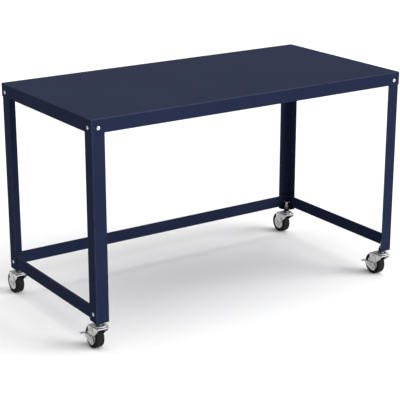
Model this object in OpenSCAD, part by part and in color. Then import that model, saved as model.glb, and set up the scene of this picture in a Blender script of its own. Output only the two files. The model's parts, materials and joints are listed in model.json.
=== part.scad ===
// Mobile steel desk: a folded sheet-metal top on four angle legs, two side
// rails and a back rail, standing on four stem casters. The two front casters
// have a brake lever. +X runs along the desk's length, +Y towards its back
// and +Z up. The floor is z = 0.

/* [Desk] */
// Length of the top along X
top_w = 1219; // [900:1:1600]
// Depth of the top along Y
top_d = 610; // [500:1:800]
// Height of the work surface above the floor
desk_h = 755; // [700:1:800]
// Thickness of the sheet steel of the top, legs and rails
sheet_t = 1.9; // [1.2:0.1:2.5]
// Height of the apron folded down around the top
apron_h = 44.5; // [38:0.5:60]
// Width of the lip turned in along the apron's lower edge
apron_lip = 12; // [8:1:16]

/* [Legs and rails] */
// Width of each flange of the angle legs
leg_flange = 44.5; // [40:0.5:60]
// Height of the legs' lower ends above the floor
leg_clear = 99.8; // [99:0.1:110]
// Height of the rails' lower edges above the floor
rail_clear = 107.2; // [106:0.1:130]
// Height of the rails
rail_h = 44.4; // [40:0.1:50]
// Width of the lip turned in along the rails' upper edges
rail_lip = 6; // [4:0.5:8]

/* [Top stiffener] */
// Depth of the hat channel under the top
hat_h = 24; // [16:1:30]
// Width of the hat channel's crown
hat_w = 56; // [40:1:80]
// Width of each of its welding flanges
hat_flange = 18; // [12:1:25]
// Thickness of its sheet
hat_t = 1.5; // [1:0.1:2]

/* [Screws] */
// Diameter of the screws' thread
screw_d = 6; // [5:0.5:6]
// Length of the screws under the head
screw_l = 10; // [9.5:0.5:12]
// Diameter of the domed heads
head_d = 11.6; // [10:0.1:12]
// Height of the domed heads
head_h = 2.2; // [1.8:0.1:2.5]
// Distance of the upper screws from the top's vertical corners
top_screw_in = 24; // [20:0.5:26]
// Distance of the upper screws below the work surface
top_screw_drop = 28.4; // [24:0.1:32]
// Distance of the lower screws from the legs' outer corners
rail_screw_in = 22; // [20:0.5:24]
// Height of the lower screws above the floor
rail_screw_z = 126.6; // [120:0.1:135]

/* [Casters] */
// Distance of a caster's stem from the leg's outer faces
stem_in = 22; // [20:0.5:24]
// Distance of the axle behind the stem
trail = 32; // [28:0.5:36]
// Diameter of the wheels
wheel_d = 76; // [72:0.5:77]
// Width of the tyres
wheel_w = 28; // [24:0.5:29]
// Diameter of the light hub inside the tyre
hub_d = 53; // [48:0.5:56]
// Diameter of the threaded stem
stem_d = 10; // [8:0.5:10]
// Height of the stem's upper end above the floor
stem_top = 128.6; // [118:0.1:130]

/* [Brake levers] */
// Radius of the lever's round lower end
lever_r = 13.5; // [12.5:0.5:14]
// Distance of the lever's tip behind the axle
lever_reach = 32; // [28:0.5:34]
// Width of the foot pad that is bent outwards at the tip
pad_w = 16; // [12:0.5:18]

/* [Hidden] */
$fn = 64;

// Colours
navy = [0.16, 0.19, 0.32];
zinc = [0.72, 0.72, 0.74];
black_rubber = [0.10, 0.10, 0.10];
grey_plastic = [0.78, 0.78, 0.78];

// The four corners, as signs of X and Y
front_left = [-1, -1];
front_right = [1, -1];
rear_left = [-1, 1];
rear_right = [1, 1];
corners = [front_left, front_right, rear_left, rear_right];

// Fits and small clearances
running = 0.06;
fixed_fit = 0.05;
end_gap = 0.3;
eps = 0.5;

// Legs: outer faces lie against the apron's inner faces
leg_x = top_w / 2 - sheet_t;
leg_y = top_d / 2 - sheet_t;
// Rails: outer faces lie against the legs' inner faces
rail_x = leg_x - sheet_t;
rail_y = leg_y - sheet_t;
rail_lip_end = 8;
apron_notch = leg_flange + 6;

// Caster, in its own frame: stem axis at x = y = 0, floor at z = 0
wheel_r = wheel_d / 2;
axle_z = wheel_r;
tyre_shoulder = 3;
crown_z = wheel_d + 2;
crown_t = 2.2;
cup_r = 25.5;
cup_wall = 4;
cup_top = crown_z + crown_t + 2.7;
ball_r = 2.4;
ball_ring_r = 18;
ball_count = 18;
ball_gap = 0.15;
ball_z = crown_z + crown_t + ball_gap + ball_r;
cap_r = 23.2;
cap_wall = 1.8;
cap_low = cup_top + 0.5;
cap_roof = ball_z + ball_r + ball_gap;
cap_top = cap_roof + cap_wall;
dish_r = 13.5;
dish_top = cap_low + cap_wall;
kingpin_r = 6;
rivet_r = 9;
rivet_h = 2.2;
collar_af = 17;
collar_top = cap_top + 4.2;
thread_pitch = 1.5;
thread_depth = 0.55;
thread_count = floor((stem_top - 1 - collar_top) / thread_pitch);

// Fork
arm_t = 2;
arm_gap = wheel_w / 2 + 1.5;
arm_out = arm_gap + arm_t;
arm_flare = 5.5;
bend_z = 52;
bend_angle = atan(arm_flare / (crown_z + crown_t - bend_z));
arm_end_r = 12;
arm_top = crown_z + crown_t / 2;
arm_front = [[14, 45.5], [5, 52], [-6, 61], [-19, 71.5], [-20.5, arm_top]];
arm_rear = [[36.5, arm_top], [40.5, 66], [43.2, 52]];
crown_half_w = arm_out + arm_flare + 0.4;
crown_front = -22;
crown_rear = 38.5;
crown_corner = 4;
cup_lift = 0.4;
rib_y = 14;
rib_w = 12;
rib_h = 1.2;
rib_low = bend_z - 1.5;
rib_high = crown_z - 3;

// Axle
axle_r = 4;
axle_head_r = 7.5;
axle_head_h = 3.2;
axle_nut_af = 13;
axle_nut_h = 6.5;
spacer_r = 6;
axle_tip = 2;
hub_boss_r = 9.5;
hub_rim_t = 3;
hub_face_in = 5;

// Brake lever
lever_gap = 0.5;
lever_t = 2;
lever_outer = arm_out + lever_gap + lever_t;
lever_eye_r = 9;
lever_low = [trail - 9.5, axle_z - 9.5];
lever_tip = [trail + lever_reach, axle_z + 2.5];
lever_tip_r = 4;
lever_edge = [
  [14, 36], [16, 43.5], [24, 45.6], [36, 45.6], [46, 42.3],
  lever_tip + [-2, lever_tip_r - 0.2], lever_tip + [3.2, -2.6], [54, 26.5], [41, 19.5], [27, 15.8]
];
cam_rivet = [trail - 11, axle_z - 10.5];
cam_rivet_r = 3.2;
cam_rivet_h = 1.2;
pad_l = 11;
pad_t = 2.2;

// Weld nuts and stem sockets
nut_af = 10;
nut_h = 4.6;
socket_plate_t = 3;
socket_plate_w = 40;
socket_chamfer = 25;
socket_r = 10;
socket_top = leg_clear + socket_plate_t;
stem_nut_af = 15;
stem_nut_h = 10.5;
stem_nut_flange_r = 10.8;
stem_nut_flange_h = 2;
socket_low = collar_top + fixed_fit;

// The origin is under the middle of the whole footprint. The rear wheels
// trail behind the top, so the top's own middle lies in front of it.
stem_y = leg_y - stem_in;
rear_reach = stem_y + trail + wheel_r;
front_reach = top_d / 2 + head_h;
desk_y = (front_reach - rear_reach) / 2;

// ---- Helpers --------------------------------------------------------------

module in_frame() {
  translate([0, desk_y, 0]) children();
}

// Stands a shape that is drawn in the quarter x < 0, y < 0 at a corner
module at_corner(corner) {
  mirror([corner[0] > 0 ? 1 : 0, 0, 0])
    mirror([0, corner[1] > 0 ? 1 : 0, 0])
      children();
}

// Puts a caster's own frame at the stem of a corner, without mirroring it
module at_stem(corner) {
  translate([corner[0] * (leg_x - stem_in), corner[1] * stem_y, 0]) children();
}

module rounded_rect(w, h, r) {
  square([w - 2 * r, h], center = true);
  square([w, h - 2 * r], center = true);
  for (x = [-1, 1], y = [-1, 1])
    translate([x * (w / 2 - r), y * (h / 2 - r)]) circle(r);
}

// Extrudes a Y-Z outline along X, from x0 to x1
module yz_plate(x0, x1) {
  translate([x0, 0, 0])
    rotate([90, 0, 90]) linear_extrude(x1 - x0) children();
}

// Turns an outline of (radius, x) about the X axis, through the axle
module about_axle() {
  translate([0, trail, axle_z]) rotate([0, 90, 0]) rotate_extrude() children();
}

// A hole or shaft along X or Y, centred on the point at
module rod_x(at, r, l) {
  translate(at) rotate([0, 90, 0]) cylinder(r = r, h = l, center = true);
}

module rod_y(at, r, l) {
  translate(at) rotate([90, 0, 0]) cylinder(r = r, h = l, center = true);
}

// ---- Screws and their places ----------------------------------------------

// Each place is [point on the outer face, direction into the desk]
function top_places() = [
  for (c = corners) [
    [c[0] * (top_w / 2 - top_screw_in), c[1] * top_d / 2, desk_h - top_screw_drop],
    [0, -c[1], 0]
  ],
  for (c = corners) [
    [c[0] * top_w / 2, c[1] * (top_d / 2 - top_screw_in), desk_h - top_screw_drop],
    [-c[0], 0, 0]
  ]
];

function rail_places() = [
  for (c = corners) [
    [c[0] * leg_x, c[1] * (leg_y - rail_screw_in), rail_screw_z],
    [-c[0], 0, 0]
  ],
  for (c = [rear_left, rear_right]) [
    [c[0] * (leg_x - rail_screw_in), c[1] * leg_y, rail_screw_z],
    [0, -c[1], 0]
  ]
];

// Turns +Z into the direction d, which lies along X or Y
module along(d) {
  rotate([0, 90, atan2(d[1], d[0])]) children();
}

module screw_holes(places) {
  for (p = places)
    translate(p[0]) along(p[1])
      translate([0, 0, -eps]) cylinder(r = screw_d / 2 + 0.2, h = 2 * sheet_t + 2 * eps);
}

// A domed screw with a cross recess, its head's underside at z = 0
module screw() {
  dome_r = (pow(head_d / 2, 2) + pow(head_h, 2)) / (2 * head_h);
  difference() {
    intersection() {
      translate([0, 0, dome_r - head_h]) sphere(dome_r);
      translate([0, 0, -head_h]) cylinder(r = head_d / 2, h = head_h);
    }
    for (a = [0, 90])
      rotate([0, 0, a])
        translate([0, 0, -head_h]) cube([5, 1.1, 2.4], center = true);
  }
  cylinder(r = screw_d / 2, h = screw_l - 1);
  translate([0, 0, screw_l - 1])
    cylinder(r1 = screw_d / 2, r2 = screw_d / 2 - 0.8, h = 1);
}

module screws(places) {
  color(zinc)
    for (p = places) translate(p[0]) along(p[1]) screw();
}

module weld_nuts(places) {
  color(navy)
    for (p = places)
      translate(p[0]) along(p[1])
        translate([0, 0, 2 * sheet_t])
          difference() {
            cylinder(d = nut_af / cos(30), h = nut_h, $fn = 6);
            translate([0, 0, -eps])
              cylinder(r = screw_d / 2 + fixed_fit, h = nut_h + 2 * eps);
          }
}

// ---- Top ------------------------------------------------------------------

module lip_x(side) {
  l = top_w - 2 * apron_notch;
  translate([-l / 2, side > 0 ? top_d / 2 - apron_lip : -top_d / 2, desk_h - apron_h])
    cube([l, apron_lip, sheet_t]);
}

module lip_y(side) {
  l = top_d - 2 * apron_notch;
  translate([side > 0 ? top_w / 2 - apron_lip : -top_w / 2, -l / 2, desk_h - apron_h])
    cube([apron_lip, l, sheet_t]);
}

module desktop() {
  color(navy) in_frame()
    difference() {
      union() {
        difference() {
          translate([-top_w / 2, -top_d / 2, desk_h - apron_h]) cube([top_w, top_d, apron_h]);
          translate([-leg_x, -leg_y, desk_h - apron_h - eps])
            cube([2 * leg_x, 2 * leg_y, apron_h + eps - sheet_t]);
        }
        for (side = [-1, 1]) {
          lip_x(side);
          lip_y(side);
        }
      }
      screw_holes(top_places());
    }
}

// Hat channel along the middle of the top, open towards the top's underside
module top_stiffener() {
  l = top_w - 2 * apron_notch;
  out = hat_w / 2;
  z1 = desk_h - sheet_t;
  z0 = z1 - hat_h;
  half = [
    [out + hat_flange, z1], [out + hat_flange, z1 - hat_t], [out, z1 - hat_t], [out, z0]
  ];
  inner = [[out - hat_t, z0 + hat_t], [out - hat_t, z1]];
  flipped = function(pts) [for (i = [len(pts) - 1 : -1 : 0]) [-pts[i][0], pts[i][1]]];
  color(navy) in_frame()
    yz_plate(-l / 2, l / 2)
      polygon(concat(half, flipped(half), [for (p = flipped([inner[1]])) p],
                     [for (p = flipped([inner[0]])) p], [inner[0], inner[1]]));
}

// ---- Legs, rails and sockets ----------------------------------------------

module leg(corner) {
  color(navy) in_frame()
    difference() {
      at_corner(corner)
        translate([-leg_x, -leg_y, leg_clear])
          linear_extrude(desk_h - sheet_t - leg_clear)
            polygon([
              [0, 0], [leg_flange, 0], [leg_flange, sheet_t],
              [sheet_t, sheet_t], [sheet_t, leg_flange], [0, leg_flange]
            ]);
      screw_holes(top_places());
      screw_holes(rail_places());
    }
}

module side_rail(side) {
  l = 2 * (rail_y - end_gap);
  lip_l = l - 2 * rail_lip_end;
  color(navy) in_frame()
    difference() {
      mirror([side > 0 ? 1 : 0, 0, 0]) {
        translate([-rail_x, -l / 2, rail_clear]) cube([sheet_t, l, rail_h]);
        translate([-rail_x, -lip_l / 2, rail_clear + rail_h - sheet_t])
          cube([rail_lip, lip_l, sheet_t]);
      }
      screw_holes(rail_places());
    }
}

module back_rail() {
  l = 2 * (rail_x - sheet_t - end_gap);
  lip_l = l - 2 * rail_lip_end;
  color(navy) in_frame()
    difference() {
      union() {
        translate([-l / 2, rail_y - sheet_t, rail_clear]) cube([l, sheet_t, rail_h]);
        translate([-lip_l / 2, rail_y - rail_lip, rail_clear + rail_h - sheet_t])
          cube([lip_l, rail_lip, sheet_t]);
      }
      screw_holes(rail_places());
    }
}

// Plate across the leg's lower end with the sleeve that takes the stem
module socket(corner) {
  w = socket_plate_w;
  in = stem_in - sheet_t;
  color(navy) in_frame()
    at_corner(corner)
      translate([-rail_x, -rail_y, 0])
        difference() {
          union() {
            translate([0, 0, leg_clear])
              linear_extrude(socket_plate_t)
                polygon([[0, 0], [w, 0], [w, w - socket_chamfer], [w - socket_chamfer, w], [0, w]]);
            translate([in, in, socket_low]) cylinder(r = socket_r, h = socket_top - socket_low);
          }
          translate([in, in, socket_low - eps])
            cylinder(r = stem_d / 2 + fixed_fit, h = socket_top - socket_low + 2 * eps);
        }
}

// Flanged nuts that hold the stems down on the plates
module stem_nuts() {
  color(zinc) in_frame()
    for (c = corners)
      at_stem(c)
        translate([0, 0, leg_clear + socket_plate_t])
          difference() {
            union() {
              cylinder(r = stem_nut_flange_r, h = stem_nut_flange_h);
              intersection() {
                cylinder(d = stem_nut_af / cos(30), h = stem_nut_h, $fn = 6);
                cylinder(r1 = stem_nut_af, r2 = stem_nut_af * 0.53, h = stem_nut_h);
              }
            }
            translate([0, 0, -eps])
              cylinder(r = stem_d / 2 + fixed_fit, h = stem_nut_h + 2 * eps);
          }
}

// ---- Casters --------------------------------------------------------------

// Kingpin, hexagonal collar and threaded stem, headed over under the fork
module stem(corner) {
  r = stem_d / 2;
  thread = [
    for (i = [0 : thread_count - 1])
      each [
        [r, collar_top + i * thread_pitch],
        [r - thread_depth, collar_top + (i + 0.5) * thread_pitch]
      ]
  ];
  color(zinc) in_frame() at_stem(corner) {
    rotate_extrude()
      polygon(concat(
        [
          [0, crown_z - end_gap - rivet_h],
          [rivet_r - 1.5, crown_z - end_gap - rivet_h],
          [rivet_r, crown_z - end_gap - rivet_h + 1],
          [rivet_r, crown_z - end_gap],
          [kingpin_r, crown_z - end_gap],
          [kingpin_r, collar_top - 1],
          [r, collar_top - 1]
        ],
        thread,
        [[r, stem_top - 1], [r - 1, stem_top], [0, stem_top]]
      ));
    translate([0, 0, dish_top])
      cylinder(d = collar_af / cos(30), h = collar_top - dish_top, $fn = 6);
  }
}

// Upper raceway: a shallow inverted dish fixed to the kingpin over the balls
module cap(corner) {
  bore = kingpin_r + fixed_fit;
  color(zinc) in_frame() at_stem(corner)
    rotate_extrude()
      polygon([
        [bore, cap_low], [dish_r, cap_low], [dish_r + 1.6, cap_roof],
        [cap_r - cap_wall, cap_roof], [cap_r - cap_wall, cap_low], [cap_r, cap_low],
        [cap_r, cap_top - 1.4], [cap_r - 0.5, cap_top - 0.5], [cap_r - 1.4, cap_top],
        [dish_r + 1.6, cap_top], [dish_r + 0.4, cap_top - 0.6], [dish_r - 0.6, dish_top],
        [bore, dish_top]
      ]);
}

module balls(corner) {
  color(zinc) in_frame() at_stem(corner)
    for (i = [0 : ball_count - 1])
      rotate([0, 0, i * 360 / ball_count])
        translate([ball_ring_r, 0, ball_z]) sphere(ball_r, $fn = 24);
}

// X of a surface at the depth d outside the inner face of the -X arm
function strip_x(d, z) =
  -(arm_gap + d) - max(0, z - bend_z + d * tan(bend_angle / 2)) * tan(bend_angle);

// Sheet between the depths d0 and d1, upright below the bend and flared above
module bent_strip(d0, d1, z0, z1) {
  b0 = bend_z - d0 * tan(bend_angle / 2);
  b1 = bend_z - d1 * tan(bend_angle / 2);
  rotate([90, 0, 0])
    linear_extrude(4 * trail, center = true)
      polygon([
        [strip_x(d0, z0), z0], [strip_x(d0, b0), b0], [strip_x(d0, z1), z1],
        [strip_x(d1, z1), z1], [strip_x(d1, b1), b1], [strip_x(d1, z0), z0]
      ]);
}

module arm_outline() {
  polygon(concat(
    arm_front, arm_rear, [[trail + arm_end_r, axle_z], [trail - arm_end_r, axle_z]]
  ));
  translate([trail, axle_z]) circle(arm_end_r);
}

// The arm on the -X side, with an upright pressed rib
module arm() {
  intersection() {
    bent_strip(0, arm_t, 0, arm_top);
    yz_plate(-2 * arm_out, 0) arm_outline();
  }
  intersection() {
    bent_strip(arm_t / 2, arm_t + rib_h, 0, rib_high);
    yz_plate(-2 * arm_out, 0) translate([rib_y - rib_w / 2, rib_low]) square([rib_w, crown_z]);
  }
}

// Stamped fork: crown with the lower raceway, and two flared arms
module fork(corner) {
  color(zinc) in_frame() at_stem(corner)
    difference() {
      union() {
        translate([0, (crown_front + crown_rear) / 2, crown_z])
          linear_extrude(crown_t)
            rounded_rect(2 * crown_half_w, crown_rear - crown_front, crown_corner);
        rotate_extrude()
          polygon([
            [cup_r - cup_wall, crown_z + crown_t / 2], [cup_r - 1, crown_z + cup_lift],
            [cup_r, crown_z + cup_lift + 1], [cup_r, cup_top], [cup_r - cup_wall, cup_top]
          ]);
        arm();
        mirror([1, 0, 0]) arm();
      }
      translate([0, 0, crown_z - eps]) cylinder(r = kingpin_r + running, h = crown_t + 2 * eps);
      rod_x([0, trail, axle_z], axle_r + fixed_fit, 3 * arm_out);
    }
}

// X of the face that the axle's head bears on, outside the lever if there is one
function head_x(corner) = -(corner[1] < 0 ? lever_outer + end_gap : arm_out);

// Bolt through the wheel, its low domed head on the -X side
module axle(corner) {
  x0 = head_x(corner);
  x1 = arm_out + axle_nut_h + axle_tip;
  dome_r = (pow(axle_head_r, 2) + pow(axle_head_h, 2)) / (2 * axle_head_h);
  color(zinc) in_frame() at_stem(corner)
    translate([0, trail, axle_z]) rotate([0, 90, 0]) {
      translate([0, 0, x0 - 0.5]) cylinder(r = axle_r, h = x1 - x0 - 0.5);
      translate([0, 0, x1 - 1]) cylinder(r1 = axle_r, r2 = axle_r - 1, h = 1);
      intersection() {
        translate([0, 0, x0 - axle_head_h + dome_r]) sphere(dome_r);
        translate([0, 0, x0 - axle_head_h]) cylinder(r = axle_head_r, h = axle_head_h);
      }
    }
}

module axle_nut(corner) {
  color(zinc) in_frame() at_stem(corner)
    translate([arm_out, trail, axle_z]) rotate([0, 90, 0])
      difference() {
        intersection() {
          cylinder(d = axle_nut_af / cos(30), h = axle_nut_h, $fn = 6);
          cylinder(r1 = axle_nut_af * 0.85, r2 = axle_nut_af * 0.52, h = axle_nut_h);
        }
        translate([0, 0, -eps]) cylinder(r = axle_r + fixed_fit, h = axle_nut_h + 2 * eps);
      }
}

// Steel tube that keeps the arms apart and carries the turning hub
module spacer(corner) {
  color(zinc) in_frame() at_stem(corner)
    about_axle()
      translate([axle_r + fixed_fit, -arm_gap])
        square([spacer_r - axle_r - fixed_fit, 2 * arm_gap]);
}

module hub(corner) {
  bore = spacer_r + running;
  rim = hub_d / 2;
  face = wheel_w / 2 - hub_face_in;
  color(grey_plastic) in_frame() at_stem(corner)
    about_axle() {
      polygon([
        [bore, -wheel_w / 2 - 1], [hub_boss_r, -wheel_w / 2 - 1], [hub_boss_r + 1, -face],
        [rim - hub_rim_t, -face], [rim - hub_rim_t + 0.8, -wheel_w / 2 + 0.4],
        [rim, -wheel_w / 2 + 0.4], [rim, wheel_w / 2 - 0.4],
        [rim - hub_rim_t + 0.8, wheel_w / 2 - 0.4], [rim - hub_rim_t, face],
        [hub_boss_r + 1, face], [hub_boss_r, wheel_w / 2 + 1], [bore, wheel_w / 2 + 1]
      ]);
    }
}

module tyre(corner) {
  rim = hub_d / 2 + fixed_fit;
  color(black_rubber) in_frame() at_stem(corner)
    about_axle()
      difference() {
        rounded_rect(wheel_d, wheel_w, tyre_shoulder);
        translate([-wheel_d, -wheel_w]) square([wheel_d + rim, 2 * wheel_w]);
      }
}

// Stamped lever on the outside of the -X arm, with a foot pad at its tip and
// the rivet of the brake's cam in its round lower end
module brake_lever(corner) {
  x0 = -arm_out - lever_gap;
  color(zinc) in_frame() at_stem(corner)
    difference() {
      union() {
        yz_plate(x0 - lever_t, x0) {
          translate(lever_low) circle(lever_r);
          translate([trail, axle_z]) circle(lever_eye_r);
          translate(lever_tip) circle(lever_tip_r);
          polygon(lever_edge);
        }
        rod_x([x0 - lever_t, cam_rivet[0], cam_rivet[1]], cam_rivet_r, 2 * cam_rivet_h);
        translate([x0 - lever_t, lever_tip[0] - pad_l / 2, lever_tip[1] + lever_tip_r])
          rotate([0, 0, 90])
            translate([pad_l / 2, (pad_w - lever_t) / 2, -pad_t])
              linear_extrude(pad_t) rounded_rect(pad_l, pad_w + lever_t, 3);
      }
      rod_x([0, trail, axle_z], axle_r + running, 3 * lever_outer);
    }
}

// ---- Nodes ----------------------------------------------------------------

module leg_front_left() { leg(front_left); }
module leg_front_right() { leg(front_right); }
module leg_rear_left() { leg(rear_left); }
module leg_rear_right() { leg(rear_right); }
module side_rail_left() { side_rail(-1); }
module side_rail_right() { side_rail(1); }
module socket_front_left() { socket(front_left); }
module socket_front_right() { socket(front_right); }
module socket_rear_left() { socket(rear_left); }
module socket_rear_right() { socket(rear_right); }
module top_screws() { in_frame() screws(top_places()); }
module rail_screws() { in_frame() screws(rail_places()); }
module top_weld_nuts() { in_frame() weld_nuts(top_places()); }
module rail_weld_nuts() { in_frame() weld_nuts(rail_places()); }
module stem_front_left() { stem(front_left); }
module stem_front_right() { stem(front_right); }
module stem_rear_left() { stem(rear_left); }
module stem_rear_right() { stem(rear_right); }
module cap_front_left() { cap(front_left); }
module cap_front_right() { cap(front_right); }
module cap_rear_left() { cap(rear_left); }
module cap_rear_right() { cap(rear_right); }
module balls_front_left() { balls(front_left); }
module balls_front_right() { balls(front_right); }
module balls_rear_left() { balls(rear_left); }
module balls_rear_right() { balls(rear_right); }
module fork_front_left() { fork(front_left); }
module fork_front_right() { fork(front_right); }
module fork_rear_left() { fork(rear_left); }
module fork_rear_right() { fork(rear_right); }
module axle_front_left() { axle(front_left); }
module axle_front_right() { axle(front_right); }
module axle_rear_left() { axle(rear_left); }
module axle_rear_right() { axle(rear_right); }
module axle_nut_front_left() { axle_nut(front_left); }
module axle_nut_front_right() { axle_nut(front_right); }
module axle_nut_rear_left() { axle_nut(rear_left); }
module axle_nut_rear_right() { axle_nut(rear_right); }
module spacer_front_left() { spacer(front_left); }
module spacer_front_right() { spacer(front_right); }
module spacer_rear_left() { spacer(rear_left); }
module spacer_rear_right() { spacer(rear_right); }
module hub_front_left() { hub(front_left); }
module hub_front_right() { hub(front_right); }
module hub_rear_left() { hub(rear_left); }
module hub_rear_right() { hub(rear_right); }
module tyre_front_left() { tyre(front_left); }
module tyre_front_right() { tyre(front_right); }
module tyre_rear_left() { tyre(rear_left); }
module tyre_rear_right() { tyre(rear_right); }
module brake_lever_front_left() { brake_lever(front_left); }
module brake_lever_front_right() { brake_lever(front_right); }

desktop();
top_stiffener();
leg_front_left();
leg_front_right();
leg_rear_left();
leg_rear_right();
side_rail_left();
side_rail_right();
back_rail();
socket_front_left();
socket_front_right();
socket_rear_left();
socket_rear_right();
top_screws();
rail_screws();
top_weld_nuts();
rail_weld_nuts();
stem_nuts();
stem_front_left();
stem_front_right();
stem_rear_left();
stem_rear_right();
cap_front_left();
cap_front_right();
cap_rear_left();
cap_rear_right();
balls_front_left();
balls_front_right();
balls_rear_left();
balls_rear_right();
fork_front_left();
fork_front_right();
fork_rear_left();
fork_rear_right();
axle_front_left();
axle_front_right();
axle_rear_left();
axle_rear_right();
axle_nut_front_left();
axle_nut_front_right();
axle_nut_rear_left();
axle_nut_rear_right();
spacer_front_left();
spacer_front_right();
spacer_rear_left();
spacer_rear_right();
hub_front_left();
hub_front_right();
hub_rear_left();
hub_rear_right();
tyre_front_left();
tyre_front_right();
tyre_rear_left();
tyre_rear_right();
brake_lever_front_left();
brake_lever_front_right();
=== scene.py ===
import json
import math

import bmesh
import bpy
from mathutils import Matrix, Vector

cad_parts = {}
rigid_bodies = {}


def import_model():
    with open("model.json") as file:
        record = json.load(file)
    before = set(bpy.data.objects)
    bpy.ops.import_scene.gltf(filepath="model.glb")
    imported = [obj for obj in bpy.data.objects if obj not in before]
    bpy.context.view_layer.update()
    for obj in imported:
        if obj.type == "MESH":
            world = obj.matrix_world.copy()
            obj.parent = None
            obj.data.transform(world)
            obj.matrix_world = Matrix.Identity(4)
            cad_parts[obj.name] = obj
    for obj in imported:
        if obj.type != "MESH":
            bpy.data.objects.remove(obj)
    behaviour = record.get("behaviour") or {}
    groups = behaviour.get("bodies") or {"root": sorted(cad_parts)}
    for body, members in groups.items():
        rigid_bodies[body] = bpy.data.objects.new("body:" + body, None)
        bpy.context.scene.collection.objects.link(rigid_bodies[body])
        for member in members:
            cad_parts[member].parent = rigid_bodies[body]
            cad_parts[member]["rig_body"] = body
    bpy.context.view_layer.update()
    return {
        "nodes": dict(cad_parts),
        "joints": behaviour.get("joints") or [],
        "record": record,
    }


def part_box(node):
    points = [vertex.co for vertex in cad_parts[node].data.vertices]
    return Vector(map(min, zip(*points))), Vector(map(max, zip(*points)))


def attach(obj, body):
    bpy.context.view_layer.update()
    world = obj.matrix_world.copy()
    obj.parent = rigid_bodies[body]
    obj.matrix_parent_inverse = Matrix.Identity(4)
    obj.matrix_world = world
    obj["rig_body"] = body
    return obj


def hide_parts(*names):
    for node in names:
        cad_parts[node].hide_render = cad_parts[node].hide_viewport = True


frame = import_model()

MM = 0.001
CORNERS = ("front_left", "front_right", "rear_left", "rear_right")
SIGN = {"front_left": (-1, -1), "front_right": (1, -1), "rear_left": (-1, 1), "rear_right": (1, 1)}
JOINTS = {j["name"]: j for j in frame["joints"]}
RECORD_SLOT = {s["node"]: s["material_slot"] for s in frame["record"]["subparts"]}

DESK_LO, DESK_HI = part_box("desktop")
DESK_MID = (DESK_LO + DESK_HI) / 2


# ---- Materials -------------------------------------------------------------------

class Nodes:
    """A short way to write a material's nodes."""

    def __init__(self, name):
        self.material = bpy.data.materials.new(name)
        self.material.use_nodes = True
        self.tree = self.material.node_tree
        self.tree.nodes.clear()
        self.out = self.add("ShaderNodeOutputMaterial")
        self.shader = self.add("ShaderNodeBsdfPrincipled")
        self.link(self.shader.outputs["BSDF"], self.out.inputs["Surface"])
        self.place = self.add("ShaderNodeTexCoord").outputs["Object"]

    def add(self, kind, **values):
        node = self.tree.nodes.new(kind)
        for key, value in values.items():
            setattr(node, key, value)
        return node

    def link(self, a, b):
        self.tree.links.new(a, b)

    def set(self, **values):
        for key, value in values.items():
            self.shader.inputs[key.replace("_", " ")].default_value = value

    def noise(self, scale, detail=3.0, rough=0.5, stretch=None, distortion=0.0):
        place = self.place
        if stretch:
            mapping = self.add("ShaderNodeMapping")
            mapping.inputs["Scale"].default_value = stretch
            self.link(place, mapping.inputs["Vector"])
            place = mapping.outputs["Vector"]
        node = self.add("ShaderNodeTexNoise")
        self.link(place, node.inputs["Vector"])
        node.inputs["Scale"].default_value = scale
        node.inputs["Detail"].default_value = detail
        node.inputs["Roughness"].default_value = rough
        node.inputs["Distortion"].default_value = distortion
        return node.outputs["Fac"]

    def remap(self, value, low, high, to_low=0.0, to_high=1.0):
        node = self.add("ShaderNodeMapRange", clamp=True)
        self.link(value, node.inputs["Value"])
        ends = {"From Min": low, "From Max": high, "To Min": to_low, "To Max": to_high}
        for key, number in ends.items():
            node.inputs[key].default_value = number
        return node.outputs["Result"]

    def math(self, operation, a, b):
        node = self.add("ShaderNodeMath", operation=operation)
        for i, value in enumerate((a, b)):
            if isinstance(value, (int, float)):
                node.inputs[i].default_value = value
            else:
                self.link(value, node.inputs[i])
        return node.outputs["Value"]

    def mix(self, factor, a, b):
        node = self.add("ShaderNodeMix", data_type="RGBA")
        sockets = {s.identifier: s for s in node.inputs}
        for key, value in (("Factor_Float", factor), ("A_Color", a), ("B_Color", b)):
            socket = sockets[key]
            if isinstance(value, (int, float)):
                socket.default_value = value
            elif isinstance(value, (tuple, list)):
                socket.default_value = (*value[:3], 1.0)
            else:
                self.link(value, socket)
        return {s.identifier: s for s in node.outputs}["Result_Color"]

    def occlusion_shade_mask(self):
        """From 0 on open faces to 1 deep in corners and gaps: a mask for painting shade where those corners
        and gaps would be shaded.
        """
        node = self.add("ShaderNodeAmbientOcclusion", samples=8)
        node.inputs["Distance"].default_value = 6 * MM
        return self.remap(node.outputs["AO"], 0.45, 0.9, 1.0, 0.0)

    def attribute(self, name):
        return self.add("ShaderNodeAttribute", attribute_name=name).outputs["Fac"]

    def colour(self, value):
        self.link(value, self.shader.inputs["Base Color"])

    def roughness(self, value):
        self.link(value, self.shader.inputs["Roughness"])

    def bump(self, height, distance, strength):
        node = self.add("ShaderNodeBump")
        node.inputs["Strength"].default_value = strength
        node.inputs["Distance"].default_value = distance
        self.link(height, node.inputs["Height"])
        self.link(node.outputs["Normal"], self.shader.inputs["Normal"])


NAVY = (0.0149, 0.0202, 0.0472)
NAVY_DARK = (0.0129, 0.0175, 0.0420)
NAVY_FOLD_HIGHLIGHT = (0.048, 0.053, 0.092)
NAVY_GRAIN = (0.026, 0.034, 0.070)
NAVY_SCUFF = (0.034, 0.040, 0.074)
NAVY_DUST_AND_SHEEN = (0.0255, 0.0315, 0.0600)
ZINC_SPANGLE = (0.92, 0.92, 0.95)
ZINC_DIRT = (0.30, 0.29, 0.28)
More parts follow.
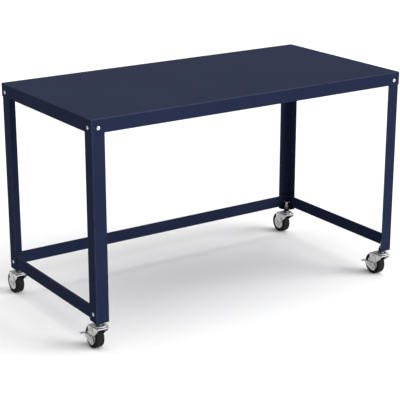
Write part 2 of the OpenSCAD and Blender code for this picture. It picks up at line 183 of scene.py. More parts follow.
# Painted shade, for the zinc's corners, recesses and darkened fittings
ZINC_SHADE_PAINT = (0.045, 0.044, 0.043)
RUBBER = (0.0050, 0.0050, 0.0052)
RUBBER_DUST = (0.0105, 0.0103, 0.0100)
RUBBER_WORN = (0.0135, 0.0132, 0.0130)
HUB_DULL, HUB_PALE = (0.76, 0.76, 0.75), (0.84, 0.84, 0.83)
HUB_DIRT = (0.30, 0.29, 0.27)
# Painted shade for the hub's corners and gaps
HUB_SHADE_PAINT = (0.06, 0.058, 0.055)


def paint_material():
    """Matte navy powder coat: orange peel, faint clouding, a painted highlight along its folds, scuffs, dust
    and a painted sheen where it faces up.
    """
    n = Nodes("navy_powder_coat")
    cloud = n.noise(5.0, 4.0, 0.6)
    fine = n.noise(900.0, 2.0, 0.5)
    peel = n.noise(420.0, 2.0, 0.45)
    streaks = n.noise(38.0, 6.0, 0.7, stretch=(1.0, 1.0, 0.35), distortion=0.4)
    scuff = n.remap(streaks, 0.66, 0.74)
    base = n.mix(n.remap(cloud, 0.35, 0.65), NAVY_DARK, NAVY)
    base = n.mix(n.remap(fine, 0.45, 0.75, 0.0, 0.10), base, NAVY_GRAIN)
    base = n.mix(n.math("MULTIPLY", scuff, 0.16), base, NAVY_SCUFF)
    # Dust and painted sheen: faces turned up are paler, partly from dust and partly from the light they
    # would catch.
    up = n.add("ShaderNodeSeparateXYZ")
    n.link(n.add("ShaderNodeNewGeometry").outputs["True Normal"], up.inputs["Vector"])
    dust = n.math("MULTIPLY", n.remap(up.outputs["Z"], 0.6, 0.95), n.remap(cloud, 0.25, 0.75, 0.7, 1.0))
    base = n.mix(dust, base, NAVY_DUST_AND_SHEEN)
    # Painted highlight: the folds are lightened in patches, as if catching the light.
    fold_highlight_patches = n.remap(n.noise(26.0, 3.0, 0.6), 0.3, 0.62, 0.25, 0.6)
    n.colour(n.mix(n.math("MULTIPLY", n.attribute("fold"), fold_highlight_patches), base, NAVY_FOLD_HIGHLIGHT))
    n.roughness(n.math("ADD", n.remap(cloud, 0.3, 0.7, 0.36, 0.44), n.math("MULTIPLY", scuff, 0.12)))
    n.set(Specular_IOR_Level=0.004)
    n.bump(n.math("ADD", peel, n.math("MULTIPLY", fine, 0.3)), 0.06 * MM, 0.55)
    return n.material


def zinc_material(name, dull, bright, rough, scale=70.0, streak=(1.0, 1.0, 6.0), metallic=0.6):
    """Zinc plate: cloudy and spangled, rougher where it is cloudy, with fine handling marks and patches of
    dirt, and painted shade in its corners and on faces flagged for it. rough is its least and most
    roughness, and scale that of its clouds."""
    n = Nodes(name)
    cloud = n.noise(scale, 5.0, 0.6)
    spangle = n.noise(scale * 9.0, 2.0, 0.6)
    marks = n.noise(scale * 4.0, 4.0, 0.7, stretch=streak)
    tint = n.mix(n.remap(cloud, 0.32, 0.68), dull, bright)
    tint = n.mix(n.remap(spangle, 0.5, 0.8, 0.0, 0.25), tint, ZINC_SPANGLE)
    dirt = n.remap(n.noise(scale * 0.6, 6.0, 0.75), 0.62, 0.78, 0.0, 0.35)
    tint = n.mix(dirt, tint, ZINC_DIRT)
    # Painted shade: corners, creases and flagged faces are darkened as if shaded.
    painted_shade_mask = n.math("MAXIMUM", n.attribute("recess"), n.math("MULTIPLY", n.occlusion_shade_mask(), 0.85))
    painted_shade_mask = n.math("MULTIPLY", painted_shade_mask, n.remap(n.noise(scale * 2.0, 3.0, 0.6), 0.25, 0.6, 0.8, 1.0))
    n.colour(n.mix(painted_shade_mask, tint, ZINC_SHADE_PAINT))
    n.roughness(n.math("ADD", n.remap(cloud, 0.3, 0.7, *rough), n.math("MULTIPLY", marks, 0.08)))
    n.set(Metallic=metallic)
    n.bump(n.math("ADD", n.math("MULTIPLY", marks, 0.6), spangle), 0.05 * MM, 0.4)
    return n.material


def rubber_material():
    """Black rubber, dusty in its pores and slightly worn on the running tread."""
    n = Nodes("tyre_rubber")
    dust = n.noise(90.0, 6.0, 0.7)
    pores = n.noise(1500.0, 2.0, 0.6)
    base = n.mix(n.remap(dust, 0.4, 0.75), RUBBER, RUBBER_DUST)
    worn = n.remap(n.noise(240.0, 5.0, 0.75), 0.42, 0.7, 0.15, 0.75)
    n.colour(n.mix(n.math("MULTIPLY", n.attribute("tread"), worn), base, RUBBER_WORN))
    n.roughness(n.remap(dust, 0.3, 0.75, 0.62, 0.85))
    n.set(Specular_IOR_Level=0.12)
    n.bump(n.math("ADD", pores, n.math("MULTIPLY", dust, 0.6)), 0.12 * MM, 0.6)
    return n.material


def hub_material():
    """Light grey moulded plastic with a fine grain, some dirt, and painted shade darkening its corners."""
    n = Nodes("hub_plastic")
    cloud = n.noise(55.0, 4.0, 0.6)
    grain = n.noise(1300.0, 2.0, 0.5)
    base = n.mix(n.remap(cloud, 0.35, 0.7), HUB_DULL, HUB_PALE)
    dirt = n.remap(n.noise(130.0, 6.0, 0.75), 0.58, 0.8, 0.0, 0.35)
    base = n.mix(dirt, base, HUB_DIRT)
    # Painted shade: the hub's corners and gaps are darkened as if shaded.
    n.colour(n.mix(n.math("MULTIPLY", n.occlusion_shade_mask(), 0.8), base, HUB_SHADE_PAINT))
    n.roughness(n.remap(cloud, 0.3, 0.7, 0.42, 0.58))
    n.bump(grain, 0.06 * MM, 0.5)
    return n.material


def grey(shade, blue=0.01):
    """A grey with a very slight blue tinge."""
    return shade, shade, shade + blue


MATERIALS = {
    "navy_paint": paint_material(),
    "screw_zinc": zinc_material("screw_zinc", grey(0.66), grey(0.82), (0.16, 0.28), 220.0, metallic=0.5),
    "stem_zinc": zinc_material("stem_zinc", grey(0.72), grey(0.88), (0.14, 0.26), 160.0),
    "caster_zinc": zinc_material("caster_zinc", grey(0.56, 0.005), grey(0.76, 0.005), (0.20, 0.34)),
    "ball_steel": zinc_material("ball_steel", grey(0.60), grey(0.72), (0.10, 0.18), 300.0),
    "axle_zinc": zinc_material("axle_zinc", grey(0.42, 0.005), grey(0.60, 0.005), (0.18, 0.30), 180.0),
    "lever_zinc": zinc_material(
        "lever_zinc", grey(0.50, 0.005), grey(0.70, 0.005), (0.20, 0.34), 110.0, (6.0, 1.0, 1.0)),
    "hub_plastic": hub_material(),
    "tyre_rubber": rubber_material(),
}


# ---- Mesh helpers ----------------------------------------------------------------

def piece(name, verts, faces, node, flags=None, tag="fold", sharp=35.0, bevel=0.0):
    """A new mesh that rides on a CAD node's body and takes its slot's material. Each face's flag goes
    into the attribute that tag names, for the material to read."""
    mesh = bpy.data.meshes.new(name)
    mesh.from_pydata([tuple(v) for v in verts], [], faces)
    mesh.validate()
    attribute = mesh.attributes.new(tag, "FLOAT", "FACE")
    for i, flag in enumerate(flags or []):
        attribute.data[i].value = flag
    fix = bmesh.new()
    fix.from_mesh(mesh)
    bmesh.ops.recalc_face_normals(fix, faces=fix.faces)
    fix.to_mesh(mesh)
    fix.free()
    for polygon in mesh.polygons:
        polygon.use_smooth = True
    mesh.set_sharp_from_angle(angle=math.radians(sharp))
    made = bpy.data.objects.new(name, mesh)
    bpy.context.scene.collection.objects.link(made)
    dress(made, node)
    if bevel:
        add_bevel(made, bevel)
    even_normals(made)
    return made


def dress(made, node):
    slot = RECORD_SLOT[node]
    coat(made, slot)
    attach(made, body_of(node))


def coat(made, slot):
    made.data.materials.clear()
    made.data.materials.append(MATERIALS[slot])


def body_of(node):
    return frame["nodes"][node]["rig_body"]


def add_bevel(made, width):
    modifier = made.modifiers.new("edges", "BEVEL")
    modifier.width = width
    modifier.segments = 2
    modifier.limit_method = "ANGLE"
    modifier.angle_limit = math.radians(40)
    modifier.miter_outer = "MITER_ARC"


def even_normals(made):
    modifier = made.modifiers.new("even_normals", "WEIGHTED_NORMAL")
    modifier.weight = 50
    modifier.keep_sharp = True


def keep(node, bevel=0.0):
    """A CAD node that stays in view, with its better material and softened edges."""
    made = frame["nodes"][node]
    coat(made, RECORD_SLOT[node])
    if bevel:
        weld = made.modifiers.new("weld", "WELD")
        weld.merge_threshold = 0.002 * MM
        add_bevel(made, bevel)
        even_normals(made)


def fillet(points, radii, steps=5):
    """Rounds a polygon's corners. Gives its points, and 1 where the edge after one is in a corner."""
    out = []
    for i, point in enumerate(points):
        radius = radii[i] if isinstance(radii, (list, tuple)) else radii
        p = Vector(point)
        before = (Vector(points[i - 1]) - p).normalized()
        after = (Vector(points[(i + 1) % len(points)]) - p).normalized()
        half = before.angle(after) / 2
        reach = radius / math.tan(half)
        centre = p + (before + after).normalized() * (radius / math.sin(half))
        a = (p + before * reach) - centre
        b = (p + after * reach) - centre
        turn = math.atan2(a.x * b.y - a.y * b.x, a.dot(b))
        for k in range(steps + 1):
            c, s = math.cos(turn * k / steps), math.sin(turn * k / steps)
            flag = 1.0 if k < steps else 0.0
            out.append((centre.x + a.x * c - a.y * s, centre.y + a.x * s + a.y * c, flag))
    return out


def rounded(points, radii):
    return [(x, y) for x, y, _ in fillet(points, radii, 4)]


def arc(cx, cy, radius, start, end, steps):
    turns = [math.radians(start + (end - start) * k / steps) for k in range(steps + 1)]
    return [(cx + radius * math.cos(turn), cy + radius * math.sin(turn)) for turn in turns]


def hexagon(x, y, flats, turn=0.0):
    """A hexagon's corners, from its centre and the distance across its flats."""
    reach = flats / math.cos(math.pi / 6) / 2
    turns = [turn + math.pi / 3 * k for k in range(6)]
    return [(x + reach * math.cos(a), y + reach * math.sin(a)) for a in turns]


# Where an outline's two coordinates and its level go, for each axis that it is extruded along.
PLACE = {
    "X": lambda a, b, level: (level, a, b),
    "Y": lambda a, b, level: (a, level, b),
    "Z": lambda a, b, level: (a, b, level),
}


def prism(name, outline, axis, low, high, node, bevel=0.0, tag="fold"):
    """Extrudes a rounded outline along an axis."""
    count = len(outline)
    verts = [PLACE[axis](x, y, level) for level in (low, high) for x, y, _ in outline]
    faces, flags = [list(range(count))], [0.0]
    for i, (_, _, flag) in enumerate(outline):
        j = (i + 1) % count
        faces.append([i, j, count + j, count + i])
        flags.append(flag)
    faces.append([count + i for i in range(count)])
    flags.append(0.0)
    return piece(name, verts, faces, node, flags, tag=tag, bevel=bevel)


# Two directions across each turning axis, and the axis itself.
TURNING = {
    "X": ((0, 1, 0), (0, 0, 1), (1, 0, 0)),
    "Z": ((1, 0, 0), (0, 1, 0), (0, 0, 1)),
}


def turned(name, profile, origin, axis, node, segments=96, flag=None, tag="fold", sharp=35.0):
    """Turns (radius, along) points about an axis through origin. flag gives a face's flag from the
    profile's point that it starts at."""
    u, v, w = (Vector(d) for d in TURNING[axis])
    origin = Vector(origin)
    count = len(profile)
    verts, faces, flags = [], [], []
    for k in range(segments):
        angle = 2 * math.pi * k / segments
        out = u * math.cos(angle) + v * math.sin(angle)
        verts += [origin + out * r + w * h for r, h in profile]
        here, there = k * count, (k + 1) % segments * count
        for i, (r, h) in enumerate(profile):
            j = (i + 1) % count
            faces.append([here + i, here + j, there + j, there + i])
            flags.append(flag(r, h) if flag else 0.0)
    return piece(name, verts, faces, node, flags, tag=tag, sharp=sharp)


# ---- Desk ------------------------------------------------------------------------

SHEET = 1.9 * MM
FOLD_OUT = 2.8 * MM
FOLD_IN = FOLD_OUT - SHEET
SHEARED = 0.6 * MM
ROLLED = 0.7 * MM
LIP = 12 * MM
LIP_END = 50.5 * MM
RAIL_LIP_END = 8 * MM
RAIL_LIP_STEP = 0.2 * MM


def corner_sides(node, corner):
    """A corner node's outer and inner x, then its outer and inner y."""
    lo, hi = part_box(node)
    sx, sy = SIGN[corner]
    x_out, x_in = (lo.x, hi.x) if sx < 0 else (hi.x, lo.x)
    y_out, y_in = (lo.y, hi.y) if sy < 0 else (hi.y, lo.y)
    return x_out, x_in, y_out, y_in


def folded_top():
    """The pan: a flat top with rounded folds and an open inside."""
    (x0, y0, z0), (x1, y1, z1) = DESK_LO, DESK_HI
    verts, faces, flags = [], [], []

    def ring(inset, z):
        start = len(verts)
        corners = [(x0 + inset, y0 + inset), (x1 - inset, y0 + inset),
                   (x1 - inset, y1 - inset), (x0 + inset, y1 - inset)]
        loop = fillet(corners, max(FOLD_OUT - inset, 0.05 * MM))
        verts.extend((x, y, z) for x, y, _ in loop)
        return start, [flag for _, _, flag in loop]

    def join(a, b, corner_flags, fold):
        count = len(corner_flags)
        for i, flag in enumerate(corner_flags):
            j = (i + 1) % count
            faces.append([a + i, a + j, b + j, b + i])
            flags.append(max(fold, flag))

    outer = [(SHEET, z0, 0.0), (0.0, z0, 0.0)]
    for k in range(7):
        turn = math.radians(15 * k)
        z = z1 - FOLD_OUT + FOLD_OUT * math.sin(turn)
        outer.append((FOLD_OUT * (1 - math.cos(turn)), z, 1.0 if k else 0.0))
    spring = z1 - SHEET - FOLD_IN
    inner = [(SHEET, spring)]
    for k in range(1, 5):
        turn = math.radians(22.5 * k)
        inner.append((SHEET + FOLD_IN * (1 - math.cos(turn)), spring + FOLD_IN * math.sin(turn)))

    rings = [ring(inset, z) for inset, z, _ in outer]
    for (a, corner_flags), (b, _), (_, _, fold) in zip(rings, rings[1:], outer[1:]):
        join(a, b, corner_flags, fold)
    count = len(rings[0][1])
    faces.append([rings[-1][0] + i for i in range(count)])
    flags.append(0.0)
    insides = [rings[0]] + [ring(*level) for level in inner]
    for (a, corner_flags), (b, _) in zip(insides, insides[1:]):
        join(b, a, corner_flags, 0.0)
    faces.append([insides[-1][0] + i for i in reversed(range(count))])
    flags.append(0.0)
    top = piece("desk_top", verts, faces, "desktop", flags, sharp=50.0)
    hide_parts("desktop")


def apron_lips():
    """The lips turned in along the apron's lower edge, between the legs."""
    (x0, y0, z0), (x1, y1, _) = DESK_LO, DESK_HI
    runs = (("front", "X", y0, -1, x0, x1), ("back", "X", y1, 1, x0, x1),
            ("left", "Y", x0, -1, y0, y1), ("right", "Y", x1, 1, y0, y1))
    for name, axis, face, sign, low, high in runs:
        free = face - sign * LIP
        edge = [(face, z0), (free, z0), (free, z0 + SHEET), (face - sign * SHEET * 0.5, z0 + SHEET)]
        outline = fillet(edge, [0.4 * MM, ROLLED, ROLLED, 0.2 * MM], 3)
        made = prism("lip_" + name, outline, axis, low + LIP_END, high - LIP_END, "desktop")
        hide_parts("desktop")


def angle_leg(corner):
    """An open angle with a rounded fold."""
    node = "leg_" + corner
    lo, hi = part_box(node)
    sx, sy = SIGN[corner]
    x_out, x_in, y_out, y_in = corner_sides(node, corner)
    x_face, y_face = x_out - sx * SHEET, y_out - sy * SHEET
    outline = [(x_out, y_out), (x_in, y_out), (x_in, y_face),
               (x_face, y_face), (x_face, y_in), (x_out, y_in)]
    radii = [FOLD_OUT, SHEARED, SHEARED, FOLD_IN, SHEARED, SHEARED]
    made = prism("angle_" + corner, fillet(outline, radii, 4), "Z", lo.z, hi.z, node, bevel=0.4 * MM)
    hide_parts(node)


def rail(name, node, axis, sign):
    """A lower rail along an axis: its web, and the lip turned in along its top, which stops short of the
    legs. Its outer face is on the side that sign gives."""
    lo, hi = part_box(node)
    run = "XY".index(axis)
    across = 1 - run
    face, free = (lo[across], hi[across]) if sign < 0 else (hi[across], lo[across])
    inner, web_top = face - sign * SHEET, hi.z - RAIL_LIP_STEP
    web = fillet([(face, lo.z), (inner, lo.z), (inner, web_top), (face, web_top)],
                 [SHEARED, SHEARED, 0.2 * MM, 1.4 * MM], 3)
    lip = fillet([(face, hi.z - SHEET), (free, hi.z - SHEET), (free, hi.z), (face, hi.z)],
                 [0.2 * MM, ROLLED, ROLLED, 1.8 * MM], 4)
    low, high = lo[run] + RAIL_LIP_END, hi[run] - RAIL_LIP_END
    parts = [prism("rail_web_" + name, web, axis, lo[run], hi[run], node, bevel=0.3 * MM),
             prism("rail_lip_" + name, lip, axis, low, high, node)]
    for made in parts:
        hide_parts(node)


# ---- Casters ---------------------------------------------------------------------

STEM_BORE = 5.05 * MM
STEM_R = 5 * MM
THREAD_DEPTH = 0.6 * MM
THREAD_PITCH = 1.5 * MM
THREAD_LEAD_IN = 1.2 * MM
KINGPIN_R = 6 * MM
RIVET_R = 9 * MM
RIVET_ROUND = 1.4 * MM
RIVET_HIGH = 2.2 * MM
COLLAR_FLATS = 17 * MM
COLLAR_HIGH = 6.1 * MM
COLLAR_PLAY = 0.05 * MM
NUT_FLATS = 15 * MM
NUT_FLANGE_R = 10.8 * MM
SLEEVE_R = 10 * MM
GUSSET = 3 * MM
GUSSET_CUT = 15 * MM
BEAD = 2.2 * MM
CAP_WALL = 1.8 * MM
CAP_BORE = 6.05 * MM
DISH_R = 13.5 * MM
# Width of the band of painted shadow round the ball race
SHADOW_BAND_WIDE = 1.6 * MM
TYRE_RIM = 26.55 * MM
TYRE_SHOULDER = 3 * MM
MOULD_LINE = 0.03 * MM
HUB_BORE = 6.06 * MM
HUB_BOSS_R = 9.5 * MM
HUB_RIM = 3 * MM
HUB_WEB_DEEP = 4.6 * MM
HUB_RIBS = 8
TINY_R = 0.1 * MM


def stem_axis(corner):
    x, y, _ = JOINTS["swivel_" + corner]["pos_m"]
    return x, y


def axle_place(corner):
    return JOINTS["wheel_spin_" + corner]["pos_m"]


def weld_bead(name, radius, z, height, at, node):
    """A slightly uneven fillet of weld around a sleeve, under the plate if its height is negative."""
    verts, faces = [], []
    count, steps = 72, 5
    for k in range(count):
        angle = 2 * math.pi * k / count
        c, s = math.cos(angle), math.sin(angle)
        size = height * (1 + 0.10 * math.sin(9 * angle) + 0.06 * math.sin(23 * angle + 1.0))
        for i in range(steps + 1):
            a = math.radians(90 * i / steps)
            r = radius - 0.3 * MM + abs(size) * (1 - math.sin(a) * 0.75)
            verts.append((at[0] + r * c, at[1] + r * s, z + size * (1 - math.cos(a))))
        root = radius - 0.6 * MM
        verts.append((at[0] + root * c, at[1] + root * s, z))
    ring = steps + 2
    for k in range(count):
        a, b = k * ring, ((k + 1) % count) * ring
        for i in range(ring):
            j = (i + 1) % ring
            faces.append([a + i, a + j, b + j, b + i])
    return piece(name, verts, faces, node, sharp=60.0)


def socket(corner):
    """The plate across the leg's end, its sleeve, and the weld between them."""
    node = "socket_" + corner
    lo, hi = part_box(node)
    sx, sy = SIGN[corner]
    x_out, x_in, y_out, y_in = corner_sides(node, corner)
    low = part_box("leg_" + corner)[0].z
    outline = [(x_out, y_out), (x_in, y_out), (x_in, y_out - sy * GUSSET_CUT),
               (x_out - sx * GUSSET_CUT, y_in), (x_out, y_in)]
    plate = fillet(outline, [0.4 * MM, 2 * MM, 3 * MM, 3 * MM, 2 * MM], 4)
    sleeve = rounded([(STEM_BORE, lo.z), (SLEEVE_R, lo.z), (SLEEVE_R, hi.z), (STEM_BORE, hi.z)],
                     [0.8 * MM, 1 * MM, 1 * MM, 0.8 * MM])
    at = stem_axis(corner)
    parts = [prism("gusset_" + corner, plate, "Z", low, low + GUSSET, node, bevel=0.5 * MM),
             turned("sleeve_" + corner, sleeve, (*at, 0), "Z", node, 64),
             weld_bead("bead_" + corner, SLEEVE_R, low, -BEAD, at, node)]
    for made in parts:
        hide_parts(node)


def thread(name, x, y, low, high, node):
    """A real helical thread, tapered at its upper end."""
    rows_per_turn, around = 10, 40
    rows = int((high - low) / THREAD_PITCH * rows_per_turn)
    verts, faces = [], []
    for i in range(rows + 1):
        z = low + (high - low) * i / rows
        taper = max(0.0, (z - (high - THREAD_LEAD_IN)) / THREAD_LEAD_IN) * 1 * MM
        for k in range(around):
            angle = 2 * math.pi * k / around
            phase = ((z / THREAD_PITCH) - k / around) % 1.0
            r = STEM_R - THREAD_DEPTH * (1 - abs(2 * phase - 1)) - taper
            verts.append((x + r * math.cos(angle), y + r * math.sin(angle), z))
    for i in range(rows):
        for k in range(around):
            j = (k + 1) % around
            faces.append([i * around + k, i * around + j, (i + 1) * around + j, (i + 1) * around + k])
    faces.append([k for k in reversed(range(around))])
    faces.append([rows * around + k for k in range(around)])
    return piece(name, verts, faces, node, sharp=60.0)


def threaded_stem(corner):
    """The stem: rivet head, kingpin, hexagonal collar and thread."""
    node = "stem_" + corner
    lo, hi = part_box(node)
    x, y = stem_axis(corner)
    collar_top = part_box("socket_" + corner)[0].z - COLLAR_PLAY
    pin_top = collar_top - 0.5 * MM
    shaft = [(TINY_R, lo.z)]
    shaft += arc(RIVET_R - RIVET_ROUND, lo.z + RIVET_ROUND, RIVET_ROUND, -90, 0, 5)
    shaft += [(RIVET_R, lo.z + RIVET_HIGH), (KINGPIN_R, lo.z + RIVET_HIGH), (KINGPIN_R, pin_top),
              (TINY_R, pin_top)]
    # The collar's sides are flagged for painted shade, which darkens them.
    collar = [(a, b, 0.7) for a, b, _ in fillet(hexagon(x, y, COLLAR_FLATS), 0.6 * MM, 2)]
    parts = [turned("kingpin_" + corner, shaft, (x, y, 0), "Z", node, 64),
             prism("collar_" + corner, collar, "Z", collar_top - COLLAR_HIGH, collar_top, node,
                   bevel=0.6 * MM, tag="recess"),
             thread("thread_" + corner, x, y, pin_top, hi.z, node)]
    for made in parts:
        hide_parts(node)


def flanged_nut(corner):
    """The hexagonal nut with a conical flange that clamps the stem over its plate, darkened all over with
    painted shade.
    """
    node = "stem_nuts"
    low, high = (end.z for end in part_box(node))
    x, y = stem_axis(corner)
    cone_top = low + 2.2 * MM
    cone = rounded([(STEM_BORE, low), (NUT_FLANGE_R, low), (NUT_FLANGE_R, low + 0.9 * MM),
                    (7.4 * MM, cone_top), (STEM_BORE, cone_top)],
                   [0.2 * MM, 0.3 * MM, 0.4 * MM, 0.4 * MM, 0.2 * MM])
    hexagonal = fillet(hexagon(x, y, NUT_FLATS, math.radians(30)), 0.5 * MM, 2)
    outline = [(a, b, 0.9) for a, b, _ in hexagonal]
    # Painted shade: the nut's sides and its flange are flagged to be darkened.
    parts = [prism("nut_" + corner, outline, "Z", low + 1.6 * MM, high, node, bevel=0.6 * MM, tag="recess"),
             turned("nut_flange_" + corner, cone, (x, y, 0), "Z", node, 64, lambda r, h: 0.95, "recess")]
    for made in parts:
        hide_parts(node)


def raceway_cap(corner):
    """The pressed dish over the ball race, with rolled edges, and painted shade inside its dish and along
    its lower edge.
    """
    node = "cap_" + corner
    lo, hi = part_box(node)
    low, top = lo.z, hi.z
    outer = (hi.x - lo.x) / 2
    skirt = outer - CAP_WALL
    profile = rounded(
        [(CAP_BORE, low), (DISH_R, low), (DISH_R + 1.8 * MM, top - CAP_WALL), (skirt, top - CAP_WALL),
         (skirt, low), (outer, low), (outer, top), (DISH_R + 1.2 * MM, top),
         (DISH_R - 0.8 * MM, low + CAP_WALL), (CAP_BORE, low + CAP_WALL)],
        [0.2 * MM, 0.6 * MM, 0.6 * MM, 0.6 * MM, 0.3 * MM, 0.6 * MM, 1.6 * MM, 1.1 * MM, 0.8 * MM, 0.3 * MM])

    # Painted shade: the inside of the dish and its lower edge are darkened as if shaded.
    def in_dish_shade(r, h):
        return 1.0 if r < DISH_R + 1 * MM or h < low + 0.7 * MM else 0.0

    dish = turned("dish_" + corner, profile, (*stem_axis(corner), 0), "Z", node, 96, in_dish_shade, "recess", 45.0)
    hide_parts(node)


def race_shadow_band(corner):
    """A dark band of painted shadow in the gap between the cap and the fork's crown, round the ball race."""
    cap_low, cap_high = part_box("cap_" + corner)
    ball_low, ball_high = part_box("balls_" + corner)
    outer = (cap_high.x - cap_low.x) / 2 - 1.2 * MM
    inner = outer - SHADOW_BAND_WIDE
    low, high = ball_low.z + 0.2 * MM, ball_high.z - 0.2 * MM
    band = rounded([(inner, low), (outer, low), (outer, high), (inner, high)], 0.5 * MM)
    # Painted shadow: the whole band is flagged to be darkened.
    turned("shadow_band_" + corner, band, (*stem_axis(corner), 0), "Z", "balls_" + corner, 64,
           lambda r, h: 1.0, "recess")


def tyre(corner):
    """Rubber tyre: rounded shoulders, a shallow sidewall groove and a mould line round the tread."""
    node = "tyre_" + corner
    lo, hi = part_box(node)
    half, radius = (hi.x - lo.x) / 2, (hi.z - lo.z) / 2
    tread = radius - MOULD_LINE
    side = [(TYRE_RIM, half - 0.6 * MM), (TYRE_RIM + 0.6 * MM, half), (TYRE_RIM + 2.6 * MM, half),
            (TYRE_RIM + 3 * MM, half - 0.35 * MM), (TYRE_RIM + 3.6 * MM, half - 0.35 * MM),
            (TYRE_RIM + 4 * MM, half)]
    side += reversed(arc(tread - TYRE_SHOULDER, half - TYRE_SHOULDER, TYRE_SHOULDER, 0, 90, 10))
    side += [(tread, 0.55 * MM), (radius, 0.2 * MM)]
    profile = [(r, -h) for r, h in side] + side[::-1]

    def worn(r, h):
        return 1.0 if r > radius - 0.6 * MM else 0.0

    rubber = turned("rubber_" + corner, profile, axle_place(corner), "X", node, 128, worn, "tread", 50.0)
    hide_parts(node)


def hub_core(corner, web, half, boss_half, radius):
    """The hub's rim, dished web and boss, turned about the axle."""
    side = rounded(
        [(HUB_BORE, boss_half), (HUB_BOSS_R, boss_half), (HUB_BOSS_R + 0.9 * MM, web),
         (radius - HUB_RIM, web), (radius - HUB_RIM + 0.9 * MM, half), (radius, half)],
        [0.6 * MM, 0.7 * MM, 1.2 * MM, 1.4 * MM, 0.6 * MM, 0.6 * MM])
    profile = side + [(r, -h) for r, h in reversed(side)]
    return turned("hub_core_" + corner, profile, axle_place(corner), "X", "hub_" + corner, 96, sharp=45.0)


def hub_ribs(corner, web, radius):
    """The ribs on both sides of the hub's web, narrower at their tops."""
    place = Vector(axle_place(corner))
    low, high, half_wide = web - 0.4 * MM, web + 1.9 * MM, 0.85 * MM
    section = ((-half_wide, low), (-half_wide * 0.7, high), (half_wide * 0.7, high), (half_wide, low))
    verts, faces = [], []
    for side in (-1, 1):
        for k in range(HUB_RIBS):
            turn = Matrix.Rotation(2 * math.pi * (k + 0.5) / HUB_RIBS, 4, "X")
            base = len(verts)
            for r in (HUB_BOSS_R, radius - HUB_RIM + 0.5 * MM):
                verts += [place + turn @ Vector((side * h, w, r)) for w, h in section]
            faces += [[base + i, base + (i + 1) % 4, base + 4 + (i + 1) % 4, base + 4 + i] for i in range(4)]
            faces += [[base + 3, base + 2, base + 1, base], [base + 4, base + 5, base + 6, base + 7]]
    return piece("hub_ribs_" + corner, verts, faces, "hub_" + corner, bevel=0.3 * MM)


def hub(corner):
    """Moulded hub: rim, dished web with ribs, and a boss round the axle tube."""
    node = "hub_" + corner
    lo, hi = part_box(node)
    boss_half, radius = (hi.x - lo.x) / 2, (hi.z - lo.z) / 2
    half = boss_half - 1.4 * MM
    web = half - HUB_WEB_DEEP
    for made in (hub_core(corner, web, half, boss_half, radius), hub_ribs(corner, web, radius)):
        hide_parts(node)


# ---- Build -----------------------------------------------------------------------

folded_top()
apron_lips()
for c in CORNERS:
    angle_leg(c)
    socket(c)
    threaded_stem(c)
    flanged_nut(c)
    raceway_cap(c)
    race_shadow_band(c)
    tyre(c)
    hub(c)
    keep("balls_" + c)
    keep("fork_" + c, 0.5 * MM)
    keep("axle_" + c, 0.3 * MM)
    keep("axle_nut_" + c, 0.3 * MM)
    keep("spacer_" + c)
rail("left", "side_rail_left", "Y", -1)
rail("right", "side_rail_right", "Y", 1)
rail("back", "back_rail", "X", 1)
keep("top_stiffener", 0.6 * MM)
for n in ("top_screws", "rail_screws"):
    keep(n, 0.15 * MM)
for n in ("top_weld_nuts", "rail_weld_nuts", "brake_lever_front_left", "brake_lever_front_right"):
    keep(n, 0.5 * MM)


# ---- Stage -----------------------------------------------------------------------

FLOOR_REACH = 30.0
SUN_FAR = 6.0
ROOM_LIGHT = 0.30
ROOM_SEEN = 1.05
CAMERA_HEADING = 33.947
CAMERA_PITCH = 17.84
CAMERA_LENS = 113.58
CAMERA_FROM_TOP = Vector((-2.3583, -3.4772, 0.914))


def floor():
    r = FLOOR_REACH
    mesh = bpy.data.meshes.new("floor")
    mesh.from_pydata([(-r, -r, 0), (r, -r, 0), (r, r, 0), (-r, r, 0)], [], [(0, 1, 2, 3)])
    made = bpy.data.objects.new("floor", mesh)
    bpy.context.scene.collection.objects.link(made)
    n = Nodes("floor_pale")
    cloud = n.noise(1.6, 3.0, 0.5)
    n.colour(n.mix(n.remap(cloud, 0.3, 0.7), (0.93, 0.93, 0.93), (0.95, 0.95, 0.95)))
    n.roughness(n.remap(cloud, 0.3, 0.7, 0.75, 0.85))
    n.set(Specular_IOR_Level=0.2)
    mesh.materials.append(n.material)


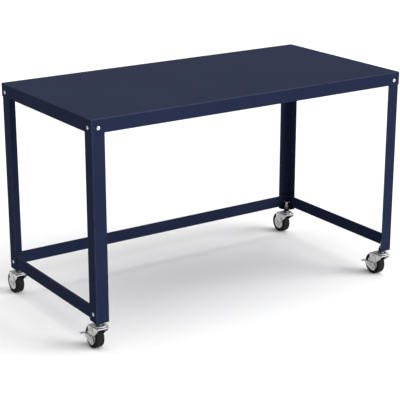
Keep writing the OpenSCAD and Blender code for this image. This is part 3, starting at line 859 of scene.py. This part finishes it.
def soft_sun(name, toward, height, spread, power):
    """A far, wide source: as even over the floor as over the desk. The angles are in degrees."""
    light = bpy.data.lights.new(name, "SUN")
    light.angle = math.radians(spread)
    light.energy = power
    made = bpy.data.objects.new(name, light)
    bpy.context.scene.collection.objects.link(made)
    a, e = math.radians(toward), math.radians(height)
    source = Vector((math.sin(a) * math.cos(e), -math.cos(a) * math.cos(e), math.sin(e)))
    made.location = source * SUN_FAR
    made.rotation_mode = "QUATERNION"
    made.rotation_quaternion = (-source).to_track_quat("-Z", "Y")


def world():
    """A room that is seen white, but lights the desk softly."""
    made = bpy.data.worlds.new("studio")
    made.use_nodes = True
    tree = made.node_tree
    background = tree.nodes["Background"]
    background.inputs["Color"].default_value = (0.98, 0.98, 1.0, 1.0)
    strength = tree.nodes.new("ShaderNodeMapRange")
    seen = tree.nodes.new("ShaderNodeLightPath").outputs["Is Camera Ray"]
    tree.links.new(seen, strength.inputs["Value"])
    strength.inputs["To Min"].default_value = ROOM_LIGHT
    strength.inputs["To Max"].default_value = ROOM_SEEN
    tree.links.new(strength.outputs["Result"], background.inputs["Strength"])
    bpy.context.scene.world = made


def camera():
    """Looks down on the desk from the front left, with a plain lens and no shift."""
    h, p = math.radians(CAMERA_HEADING), math.radians(CAMERA_PITCH)
    forward = Vector((math.sin(h) * math.cos(p), math.cos(h) * math.cos(p), -math.sin(p)))
    data = bpy.data.cameras.new("camera")
    data.sensor_width = 36.0
    data.lens = CAMERA_LENS
    data.clip_start, data.clip_end = 0.05, 200.0
    made = bpy.data.objects.new("camera", data)
    bpy.context.scene.collection.objects.link(made)
    made.location = Vector((DESK_MID.x, DESK_MID.y, DESK_HI.z)) + CAMERA_FROM_TOP
    made.rotation_mode = "QUATERNION"
    made.rotation_quaternion = forward.to_track_quat("-Z", "Y")
    bpy.context.scene.camera = made


floor()
world()
soft_sun("key", 46, 16, 40, 3.3)
soft_sun("top", 25, 76, 70, 2.25)
camera()
bpy.context.scene.view_settings.view_transform = "Standard"
